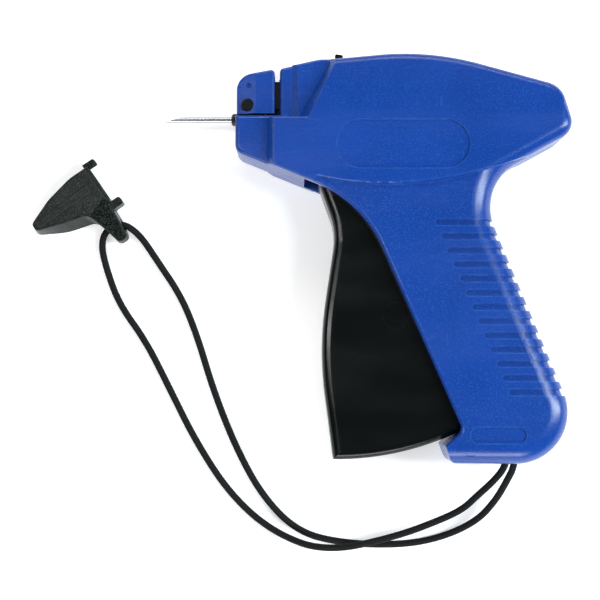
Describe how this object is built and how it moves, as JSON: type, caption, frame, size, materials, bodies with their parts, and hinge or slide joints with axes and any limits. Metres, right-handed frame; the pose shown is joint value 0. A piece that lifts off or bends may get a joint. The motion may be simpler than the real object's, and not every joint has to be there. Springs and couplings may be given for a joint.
{
  "type": "garment tagging gun",
  "caption": "Pistol-grip garment tagging gun with a hollow needle, long trigger, internal push-rod drive and a needle cap on a wrist cord, lying on its side.",
  "frame": {"origin": "on the surface the gun lies on, under the middle of the gun's box without the cord and cap", "axes": "+X to the back of the gun (the needle points to -X), +Y to its top, +Z out of its left side"},
  "size_m": [0.2011, 0.1854, 0.03],
  "materials": {
    "case": "moulded ABS, fine satin",
    "black_plastic": "satin black moulding",
    "white_plastic": "natural acetal",
    "steel": "ground",
    "zinc": "zinc plated",
    "cord": "braided polyester"
  },
  "bodies": {
    "case": {"body_shell_left": "case", "body_shell_right": "case", "case_screws": "zinc", "nose_cover": "case", "nose_block": "black_plastic", "clip_guide": "black_plastic", "feed_lever_pin": "steel", "knife_blade": "steel", "mechanism_frame": "zinc", "release_tab_pin": "steel", "drive_lever_pin": "steel", "trigger_pin": "steel", "return_spring": "steel", "spring_post": "steel", "cord_crimp": "zinc", "lanyard_cord": "cord", "needle_cap": "black_plastic"},
    "trigger": {"trigger": "black_plastic", "trigger_roller": "steel"},
    "drive_lever": {"drive_lever": "white_plastic"},
    "slide": {"slide_carriage": "white_plastic", "slide_pin": "steel", "push_rod": "steel"},
    "feed_wheel": {"feed_wheel": "white_plastic", "feed_wheel_shaft": "steel"},
    "feed_lever": {"feed_lever": "white_plastic"},
    "release_tab": {"release_tab": "black_plastic"},
    "needle_lock": {"needle_lock": "black_plastic"},
    "needle": {"needle": "steel", "needle_hub": "black_plastic"}
  },
  "joints": [
    {"name": "trigger_pull", "type": "hinge", "parent": "case", "child": "trigger", "pos_m": [-0.012, 0.03, 0.015], "axis": [0, 0, 1], "range_deg": [0, 16], "stiffness_Nm_per_rad": 1.2, "springref_deg": -8.59},
    {"name": "drive_lever_pivot", "type": "hinge", "parent": "case", "child": "drive_lever", "pos_m": [0.009, -0.001, 0.015], "axis": [0, 0, 1], "range_deg": [0, 45.8]},
    {"name": "slide_travel", "type": "slide", "parent": "case", "child": "slide", "axis": [-1, 0, 0], "range_m": [0, 0.0422], "deforming": ["return_spring"]},
    {"name": "feed_wheel_turn", "type": "hinge", "parent": "case", "child": "feed_wheel", "pos_m": [-0.033, 0.0595, 0.0113], "axis": [1, 0, 0], "range_deg": [0, 30.2]},
    {"name": "feed_lever_rock", "type": "hinge", "parent": "case", "child": "feed_lever", "pos_m": [-0.014, 0.064, 0.015], "axis": [0, 0, 1], "range_deg": [0, 6]},
    {"name": "release_tab_press", "type": "hinge", "parent": "case", "child": "release_tab", "pos_m": [-0.0085, 0.0676, 0.015], "axis": [0, 0, 1], "range_deg": [0, 10], "stiffness_Nm_per_rad": 0.01, "springref_deg": -17.19},
    {"name": "needle_lock_turn", "type": "hinge", "parent": "case", "child": "needle_lock", "pos_m": [-0.0448, 0.0556, 0.01], "axis": [0, 0, 1], "range_deg": [-90, 0]},
    {"name": "needle_removal", "type": "slide", "parent": "case", "child": "needle", "axis": [-1, 0, 0], "range_m": [0, 0.03]}
  ],
  "couplings": [
    {"joint": "drive_lever_pivot", "follows": "trigger_pull", "ratio": 2.85},
    {"joint": "slide_travel", "follows": "trigger_pull", "m_per_rad": 0.1504},
    {"joint": "feed_wheel_turn", "follows": "trigger_pull", "ratio": 1.875},
    {"joint": "feed_lever_rock", "follows": "trigger_pull", "ratio": 0.3688}
  ]
}
